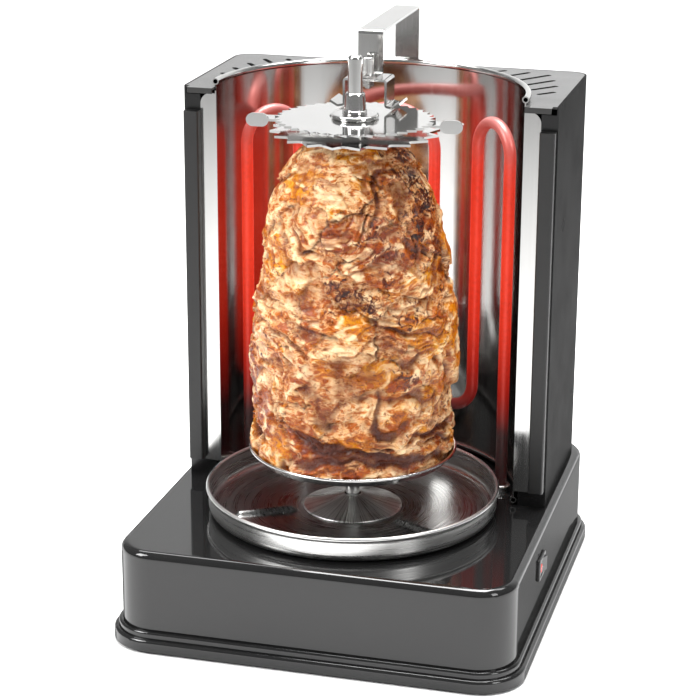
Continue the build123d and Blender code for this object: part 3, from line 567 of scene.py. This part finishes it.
def roast_surface(rows=236, cols=370):
    """Stacked slices of meat as one closed surface about the spit.

    The radius is the CAD load's own profile, plus: a lean to one side, broad lumps, a
    raised patch for each slice that overhangs at its lower edge and sinks to a crease at
    its outline, folds that run round the load and swirl, and small torn grain. Slice
    outlines are the borders between nearest seeds, after the place is pushed about by
    noise. Both ends fade to the plain profile. The sums are in millimetres. Returns points
    in metres and the colour masks.
    """
    co = np.zeros(len(NODES["meat_load"].data.vertices) * 3)
    NODES["meat_load"].data.vertices.foreach_get("co", co)
    co = co.reshape(-1, 3)
    far = np.hypot(co[:, 0], co[:, 1] - AXIS_Y)
    keep = far > 0.02  # leaves out the middles of the end faces
    levels, inverse = np.unique(np.round(co[keep, 2], 5), return_inverse=True)
    widest = np.zeros(len(levels))
    np.maximum.at(widest, inverse, far[keep])
    z0, z1 = co[:, 2].min(), co[:, 2].max()

    up = np.linspace(0, 1, rows)
    turn = np.linspace(0, 2 * np.pi, cols, endpoint=False)
    u, a = np.meshgrid(up, turn, indexing="ij")
    height = (z0 + u * (z1 - z0)).ravel() * MM
    a, u = a.ravel(), u.ravel()
    flat = np.interp(height / MM, levels, widest) * MM
    spot = np.stack([flat * np.sin(a), -flat * np.cos(a), height], -1)

    push = np.stack([cloud(spot, 34.0, 10 * k + 1, 5, 0.55) for k in range(3)], -1)
    wander = spot + push * 9.0

    rng = np.random.default_rng(41)
    seeds = [(FRONT + math.radians(t), h, g, b, c) for t, h, g, b, c in SLICES]
    for k in range(BACK_SEEDS):
        t = FRONT + FRONT_HALF + (k * GOLDEN_SHARE % 1.0) * (2 * math.pi - 2 * FRONT_HALF)
        seeds.append((t, (k + rng.random()) / BACK_SEEDS, rng.random(), rng.random() * 0.9,
                      rng.random() ** 2 * 0.7))
    seeds = np.array(seeds)
    seed_z = (z0 + seeds[:, 1] * (z1 - z0)) * MM
    seed_r = np.interp(seed_z / MM, levels, widest) * MM
    lift = rng.uniform(-1.0, 1.0, len(seeds))
    lean = rng.uniform(0.4, 1.0, len(seeds))
    side = rng.uniform(-0.6, 0.6, len(seeds))

    near = np.full(len(spot), 1e9)
    second = near.copy()
    mine = np.zeros(len(spot), int)
    weight = np.zeros(len(spot))
    tones = np.zeros((3, len(spot)))
    for k, seed in enumerate(seeds):
        at = (seed_r[k] * np.sin(seed[0]), -seed_r[k] * np.cos(seed[0]), seed_z[k])
        d = wander - at
        d = np.sqrt(d[:, 0] ** 2 + d[:, 1] ** 2 + (1.25 * d[:, 2]) ** 2)
        closer = d < near
        second = np.where(closer, near, np.minimum(second, d))
        mine = np.where(closer, k, mine)
        near = np.minimum(near, d)
        share = np.exp(-d / 3.2)
        weight += share
        tones += share * seed[2:, None]
    tones /= weight
    edge = second - near
    drop = (seed_z[mine] - wander[:, 2]) / 22.0
    across = np.sin(a - seeds[mine, 0]) * flat / 26.0

    swirl = cloud(spot, 46.0, 77, 3)
    tilt = cloud(spot, 70.0, 83, 2)
    run = spot[:, 2] / 8.0 + swirl * 3.6 + tilt * 2.4 + push[:, 0] * 0.8
    fold_at = np.stack([spot[:, 0] / 55 + swirl * 0.8,
                        spot[:, 1] / 55 + push[:, 1] * 0.5, run], -1)
    folds = 1 - np.abs(wrap_noise(fold_at, 300)) * 2.4
    fine_folds = 1 - np.abs(wrap_noise(fold_at * (2.0, 2.0, 2.3), 310)) * 2.4
    grain = cloud(spot * (1, 1, 1.6) + push * 3.0, 9.0, 400, 4, 0.6)

    low_part = ease(u, 0.35, 0.1)
    slab = (lift[mine] * 1.5 + lean[mine] * np.clip(drop, -1, 1) * 1.7
            + side[mine] * np.clip(across, -1, 1) * 1.2) * ease(edge, 0.0, 3.5)
    open_part = ease(cloud(spot, 24.0, 91, 3), -0.25, 0.55)
    crease = np.exp(-((edge / (1.2 + 0.5 * swirl)) ** 2)) * (1 - 0.45 * low_part) * open_part
    out = (cloud(spot, 60.0, 55, 2) * 1.3 + slab * 1.25 - 2.6 * crease
           + folds * (1.20 + 0.50 * low_part) + fine_folds * (0.55 + 0.30 * low_part)
           + grain * 0.70)
    ends = ease(u, 0.0, 0.03) * ease(u, 1.0, 0.97)
    radius = (flat + (np.clip(out, -4.5, 3.6) - 0.3) * (0.25 + 0.75 * ends)
              + np.interp(u, *LEAN) * np.sin(a - FRONT))

    gold = tones[0] * 0.75 + 0.30 * cloud(spot, 20.0, 501, 3) + 0.10 * np.clip(out, -2, 2)
    brown = (tones[1] * 0.85 + 0.34 * cloud(spot, 16.0, 511, 4) + 0.07 * np.clip(out, -2, 2)
             + 0.02 + 0.16 * low_part)
    char = tones[2] * 0.80 + 0.24 * cloud(spot, 8.0, 521, 3) + 0.05 * np.clip(out, 0, 3) - 0.1
    # gap marks creases, fold hollows and sunken parts, where the meat's material paints shade.
    gap = np.clip(crease * 0.9 + ease(-folds, 0.1, 1.1) * 0.55 * (0.7 + low_part)
                  + ease(-fine_folds, 0.1, 1.0) * 0.25 + ease(-out, 1.2, 3.2) * 0.5, 0, 1)
    points = np.stack([radius * np.sin(a), AXIS_Y * MM - radius * np.cos(a), height], -1) / MM
    # ridge is how high the folds stand; the material paints cream on crests and shade in hollows
    # by it.
    ridge = np.clip(0.5 + 0.30 * folds + 0.25 * fine_folds + 0.10 * slab, 0, 1)
    masks = {"gold": gold, "brown": brown, "char": char, "gap": gap, "ridge": ridge}
    points = points.reshape(rows, cols, 3)
    masks = {k: v.reshape(rows, cols) for k, v in masks.items()}

    def drawn_in(ring, level, shares):
        """Rings that carry an end over to near the rod at one level."""
        mid = np.array([0.0, AXIS_Y, level])
        return np.stack([mid + (ring - mid) * (s, s, 1.0) for s in shares])

    shares = np.linspace(0.08, 0.96, END_RINGS)
    bottom = drawn_in(points[0], z0, shares)
    top = drawn_in(points[-1], z1, shares[::-1])
    points = np.concatenate([bottom, points, top])
    masks = {k: np.pad(v, ((END_RINGS, END_RINGS), (0, 0)), "edge") for k, v in masks.items()}
    return points, masks


# ---------------------------------------------------------------- settings


class RotisserieFinish(bpy.types.PropertyGroup):
    enamel: bpy.props.FloatVectorProperty(
        name="Enamel", description="Darkest tone of the black shells", subtype="COLOR",
        size=3, default=(0.006, 0.006, 0.0065), min=0.0, max=1.0)
    steel: bpy.props.FloatVectorProperty(
        name="Steel", description="Reflecting tone of the bright steel", subtype="COLOR",
        size=3, default=(0.82, 0.815, 0.80), min=0.0, max=1.0)
    glow: bpy.props.FloatProperty(
        name="Glow", description="Strength of the heater's light", default=0.72, min=0.0)


class RotisserieStage(bpy.types.PropertyGroup):
    lens: bpy.props.FloatProperty(
        name="Lens", description="Focal length of the camera", default=111.5, min=1.0,
        subtype="DISTANCE_CAMERA")
    floor: bpy.props.FloatVectorProperty(
        name="Floor", description="Pale floor tone", subtype="COLOR", size=3,
        default=(0.86, 0.86, 0.86), min=0.0, max=1.0)
    sky: bpy.props.FloatProperty(
        name="Surround", description="Strength of the white surround", default=0.30, min=0.0)


# ---------------------------------------------------------------- operators


class ROTISSERIE_OT_finishes(bpy.types.Operator):
    """Gives every CAD node the finish of its material slot"""

    bl_idname = "rotisserie.finishes"
    bl_label = "Finishes"

    def execute(self, context):
        made = finishes()
        for name, node in NODES.items():
            slots = node.data.materials
            if not slots:
                slots.append(None)
            for i in range(len(slots)):
                slots[i] = made[SLOT_OF[name]]
        return {"FINISHED"}


class ROTISSERIE_OT_roast(bpy.types.Operator):
    """Stacked, carved and browned load of meat on the spit"""

    bl_idname = "rotisserie.roast"
    bl_label = "Roast"

    def execute(self, context):
        points, masks = roast_surface()
        wrapped_grid("meat_roast", points, "roast_meat", "spit", "meat_load", masks=masks)
        return {"FINISHED"}


RIB_TURNS = (90, 210, 330)  # degrees about the pan's middle
RIB_FROM, RIB_TO = 0.0432, 0.0768  # radii between which a rib's line runs
RIB_RISE, RIB_CREST, RIB_HALF = 0.0034, 0.0006, 0.0052  # height, flat crest and half width


def pan_surface(cols=360):
    """Spun tray with a rolled rim and three raised ribs, as one closed skin.

    A profile of radius and height runs from the middle hole out along the floor, up the
    inside wall, over the round rim, down the outside and back under the floor. On the floor
    the height gains a rib round each rib's line, full on the line and eased to nothing at
    its edge. The under side follows with the same lift, so the sheet keeps its thickness.
    """
    lo, hi = low("drip_pan"), high("drip_pan")
    hole, sheet, bead = 0.0285, 0.0008, 0.0014  # radius, thickness, radius of the rolled rim
    proud = 0.0002  # the rim's middle lies this far outside the wall
    bend_in, bend, flare = 0.0048, 0.0044, 0.0004  # inside corner and the wall's outward lean
    heel, heel_in = 0.0052, 0.0054  # outside corner's radius, and where the under side starts
    outer = hi[0] - bead - proud
    rim, base = hi[2] - bead, lo[2]
    inside = outer - sheet
    floor_r = np.linspace(hole, inside - bend_in, 46)
    inner = [(inside - bend_in + bend * np.sin(t), base + sheet + bend * (1 - np.cos(t)))
             for t in np.linspace(0, np.pi / 2, 9)[1:]]
    wall = [(inside - flare + flare * k, base + heel + (rim - base - 0.0060) * k)
            for k in np.linspace(0.02, 1, 10)]
    round_rim = [(outer + proud - bead * np.cos(t), rim + bead * np.sin(t))
                 for t in np.linspace(0.15, 4.6, 16)]
    back = [(outer, base + heel + (rim - base - 0.0075) * k) for k in np.linspace(1, 0.02, 10)]
    corner = [(outer - heel + heel * np.sin(t), base + heel * (1 - np.cos(t)))
              for t in np.linspace(np.pi / 2, 0, 9)]
    under_r = np.linspace(outer - heel_in, hole, 46)
    profile = np.array([(r, base + sheet) for r in floor_r] + inner + wall + round_rim + back
                       + corner + [(r, base) for r in under_r])
    lifted = np.zeros(len(profile), bool)
    lifted[: len(floor_r)] = True
    lifted[-len(under_r):] = True
    turn = np.linspace(0, 2 * np.pi, cols, endpoint=False)
    far, angle = np.meshgrid(profile[:, 0], turn, indexing="ij")
    x, y = far * np.cos(angle), far * np.sin(angle)
    lift = np.zeros_like(x)
    for way in np.radians(RIB_TURNS):
        along, across = x * np.cos(way) + y * np.sin(way), y * np.cos(way) - x * np.sin(way)
        gap = np.hypot(along - np.clip(along, RIB_FROM, RIB_TO), across)
        lift = np.maximum(lift, RIB_RISE * (1 - ease(gap, RIB_CREST, RIB_HALF)))
    z = profile[:, 1:] + lift * lifted[:, None]
    return np.stack([x, y + AXIS_Y, z], -1)


def turned_skin(name, profile, slot, body, node, cols=240):
    """Closed profile of (radius, height) points swept once round the spit's axis."""
    turn = np.linspace(0, 2 * np.pi, cols, endpoint=False)
    far, angle = np.meshgrid(profile[:, 0], turn, indexing="ij")
    height = np.broadcast_to(profile[:, 1:], far.shape)
    points = np.stack([far * np.cos(angle), far * np.sin(angle) + AXIS_Y, height], -1)
    return wrapped_grid(name, points, slot, body, node, ring=True)


def eased_profile(corners, share=0.28, steps=6):
    """Closed outline through corners, each corner cut by a small smooth curve.

    Every corner is replaced by a quadratic curve that starts and ends share of the
    shorter neighbouring run away, so edges catch the light softly.
    """
    corners = np.asarray(corners, float)
    before, after = np.roll(corners, 1, 0), np.roll(corners, -1, 0)
    room = np.minimum(np.hypot(*(before - corners).T), np.hypot(*(after - corners).T)) * share

    def toward(other):
        way = other - corners
        return corners + way / np.hypot(*way.T)[:, None] * room[:, None]

    t = np.linspace(0, 1, steps)[None, :, None]
    start, end = toward(before)[:, None], toward(after)[:, None]
    curve = (1 - t) ** 2 * start + 2 * t * (1 - t) * corners[:, None] + t**2 * end
    return curve.reshape(-1, 2)


class ROTISSERIE_OT_cone(bpy.types.Operator):
    """Spun cone over the drive hole of the pan"""

    bl_idname = "rotisserie.cone"
    bl_label = "Pan cone"

    def execute(self, context):
        lo, hi = low("pan_cone"), high("pan_cone")
        inset, sheet, brim, neck = 0.0001, 0.0006, 0.0007, 0.0056
        reach, base, top = hi[0] - inset, lo[2], hi[2] - inset
        share = np.linspace(0, 1, 26)
        flare = reach + (neck - reach) * share
        rise = base + brim + (top - base - brim) * (0.88 * share + 0.12 * share**4)
        upper = np.stack([flare, rise], -1)
        under = np.stack([flare[::-1] - inset, rise[::-1] - sheet], -1)
        under[-1] = (reach, base + inset)
        turned_skin("cone_skin", np.vstack([upper, under]), "cone_steel", "pan", "pan_cone", 300)
        return {"FINISHED"}


class ROTISSERIE_OT_collar(bpy.types.Operator):
    """Tapered clamp collar with soft edges and a groove above its foot"""

    bl_idname = "rotisserie.collar"
    bl_label = "Clamp collar"

    def execute(self, context):
        lo, hi = low("clamp_collar"), high("clamp_collar")
        foot, base, tall = hi[0], lo[2], hi[2] - lo[2]
        bore = 0.00478
        # Radius, then share of the height: foot, groove, taper and soft top edge.
        rows = ((bore, 0.0), (foot - 0.0002, 0.0), (foot, 0.03), (foot, 0.16),
                (foot - 0.0005, 0.19), (foot - 0.0006, 0.24), (foot * 0.83, 0.90),
                (foot * 0.78, 0.97), (foot * 0.70, 1.0), (bore, 1.0))
        profile = eased_profile([(r, base + tall * h) for r, h in rows])
        turned_skin("collar_skin", profile, "rod_steel", "spit", "clamp_collar", 160)
        return {"FINISHED"}


class ROTISSERIE_OT_pan(bpy.types.Operator):
    """Spun drip pan with pressed ribs"""

    bl_idname = "rotisserie.pan"
    bl_label = "Drip pan"

    def execute(self, context):
        points = pan_surface()
        wrapped_grid("pan_tray", points, "pan_steel", "pan", "drip_pan", ring=True)
        return {"FINISHED"}


# Name, place, aim, width, height, watts and spread in degrees of each studio light.
LIGHTS = (
    ("key_left", (-1.4, -1.2, 1.5), (0, 0, 0.15), 0.8, 1.1, 11, 80),
    ("fill_right", (1.5, -1.0, 1.0), (0, 0, 0.15), 0.5, 1.0, 2.5, 80),
    ("top_soft", (0.0, 0.25, 1.9), (0, 0.1, 0.0), 1.0, 1.0, 34, 120),
    ("back_wash", (0.0, 1.0, 2.4), (0, 1.6, 0.2), 3.0, 1.0, 70, 180))
CAMERA_AT = (0.3442, -1.3272, 0.6223)
CAMERA_YAW, CAMERA_DROP, CAMERA_ROLL = 14.94, 18.32, 0.34  # degrees
SENSOR = 36.0  # millimetres across


def floor_sweep(n=41):
    """Floor that runs back level, curls up behind the object and ends as a wall."""
    s = np.linspace(-1, 1, n)
    x, t = np.meshgrid(s * 4.0, s)
    start, curl_y, curl_z = 0.35, 0.9, 0.9  # where the curl begins, and its two reaches
    bend = np.clip((t - start) / 0.3, 0.0, None)
    curl = np.clip(bend, 0, 1) * np.pi / 2
    y = np.where(t < start, t * 3.2, 1.12 + curl_y * np.sin(curl))
    z = curl_z * (1 - np.cos(curl)) + np.clip(bend - 1, 0, None) * 2.4
    points = np.stack([x, y + 0.6, z], -1).reshape(-1, 3)
    i = np.arange(n * n).reshape(n, n)
    quads = np.stack([i[:-1, :-1], i[:-1, 1:], i[1:, 1:], i[1:, :-1]], -1).reshape(-1, 4)
    mesh = bpy.data.meshes.new("floor")
    mesh.from_pydata(points.tolist(), [], quads.tolist())
    mesh.polygons.foreach_set("use_smooth", [True] * len(mesh.polygons))
    return mesh


class ROTISSERIE_OT_stage(bpy.types.Operator):
    """Pale floor, soft studio lights and the camera"""

    bl_idname = "rotisserie.stage"
    bl_label = "Stage"

    def execute(self, context):
        scene = context.scene
        stage = scene.rotisserie_stage
        mesh = floor_sweep()
        floor = bpy.data.objects.new("floor", mesh)
        scene.collection.objects.link(floor)
        f = Finish("floor_paper", Metallic=0.0)
        tone = tuple(stage.floor)
        f.set("Base Color", f.blend(f.noise(6.0, 4.0), toned(tone, 0.985), tone))
        f.set("Roughness", f.range(f.noise(60.0, 3.0), 0.3, 0.7, 0.55, 0.7))
        mesh.materials.append(f.mat)

        world = bpy.data.worlds.new("studio")
        scene.world = world
        world.use_nodes = True
        backdrop = world.node_tree.nodes["Background"]
        backdrop.inputs["Color"].default_value = (1, 1, 1, 1)
        backdrop.inputs["Strength"].default_value = stage.sky

        for name, at, aim, width, tall, watts, spread in LIGHTS:
            data = bpy.data.lights.new(name, "AREA")
            data.shape, data.size, data.size_y = "RECTANGLE", width, tall
            data.energy, data.spread = watts, math.radians(spread)
            lamp = bpy.data.objects.new(name, data)
            lamp.location = at
            lamp.rotation_euler = (Vector(aim) - Vector(at)).to_track_quat("-Z", "Y").to_euler()
            scene.collection.objects.link(lamp)

        data = bpy.data.cameras.new("camera")
        data.lens, data.sensor_width = stage.lens, SENSOR
        data.clip_start, data.clip_end = 0.05, 50.0
        camera = bpy.data.objects.new("camera", data)
        turn = Matrix.Rotation(math.radians(CAMERA_YAW), 4, "Z")
        tilt = Matrix.Rotation(math.radians(90 - CAMERA_DROP), 4, "X")
        roll = Matrix.Rotation(math.radians(CAMERA_ROLL), 4, "Z")
        camera.matrix_world = Matrix.Translation(CAMERA_AT) @ turn @ tilt @ roll
        scene.collection.objects.link(camera)
        scene.camera = camera
        scene.view_settings.view_transform = "Standard"
        return {"FINISHED"}


class ROTISSERIE_PT_panel(bpy.types.Panel):
    bl_idname = "ROTISSERIE_PT_panel"
    bl_label = "Rotisserie"
    bl_space_type = "VIEW_3D"
    bl_region_type = "UI"
    bl_category = "Rotisserie"

    def draw(self, context):
        for name in ORDER:
            self.layout.operator("rotisserie." + name)


ORDER = ("finishes", "roast", "pan", "cone", "collar", "stage")
CLASSES = (RotisserieFinish, RotisserieStage, ROTISSERIE_OT_finishes, ROTISSERIE_OT_roast,
           ROTISSERIE_OT_pan, ROTISSERIE_OT_cone, ROTISSERIE_OT_collar, ROTISSERIE_OT_stage,
           ROTISSERIE_PT_panel)


def register():
    for made in CLASSES:
        bpy.utils.register_class(made)
    bpy.types.Scene.rotisserie_finish = bpy.props.PointerProperty(type=RotisserieFinish)
    bpy.types.Scene.rotisserie_stage = bpy.props.PointerProperty(type=RotisserieStage)


def unregister():
    del bpy.types.Scene.rotisserie_stage
    del bpy.types.Scene.rotisserie_finish
    for made in reversed(CLASSES):
        bpy.utils.unregister_class(made)


def main():
    register()
    for name in ORDER:
        getattr(bpy.ops.rotisserie, name)()


if __name__ == "__main__":
    main()
